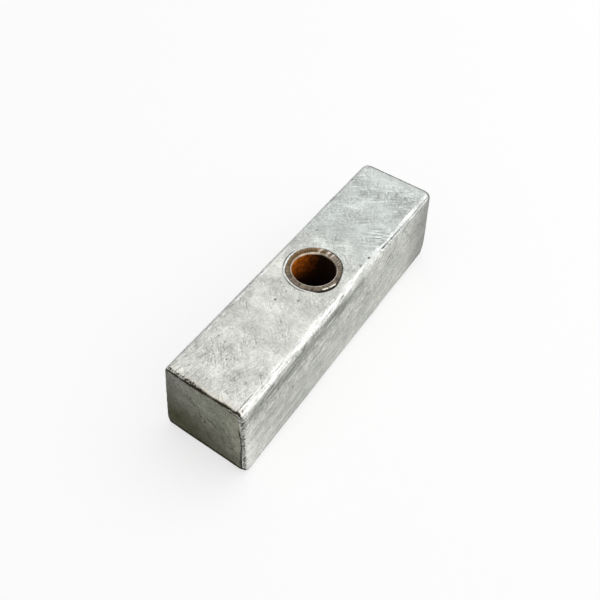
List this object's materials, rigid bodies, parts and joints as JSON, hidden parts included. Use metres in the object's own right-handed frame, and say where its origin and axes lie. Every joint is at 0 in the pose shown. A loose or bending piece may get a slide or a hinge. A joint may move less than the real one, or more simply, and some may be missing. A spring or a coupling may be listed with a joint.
{
  "type": "sacrificial anode",
  "caption": "Zinc bar anode for a hull, a rounded block cast round a steel pipe sleeve that takes the fixing stud.",
  "frame": {"origin": "middle of the pour face, the wide face the block rests on", "axes": "+Y along the bar, +Z along the sleeve's bore towards the narrow face, +X across the bar"},
  "size_m": [0.0546, 0.2046, 0.0568],
  "materials": {
    "cast_zinc": "cast and brushed, satin, with fine pits",
    "worn_steel": "sawn end worn bright at the lip, rust in the bore"
  },
  "bodies": {
    "root": {"zinc_block": "cast_zinc", "steel_sleeve": "worn_steel"}
  },
  "joints": []
}
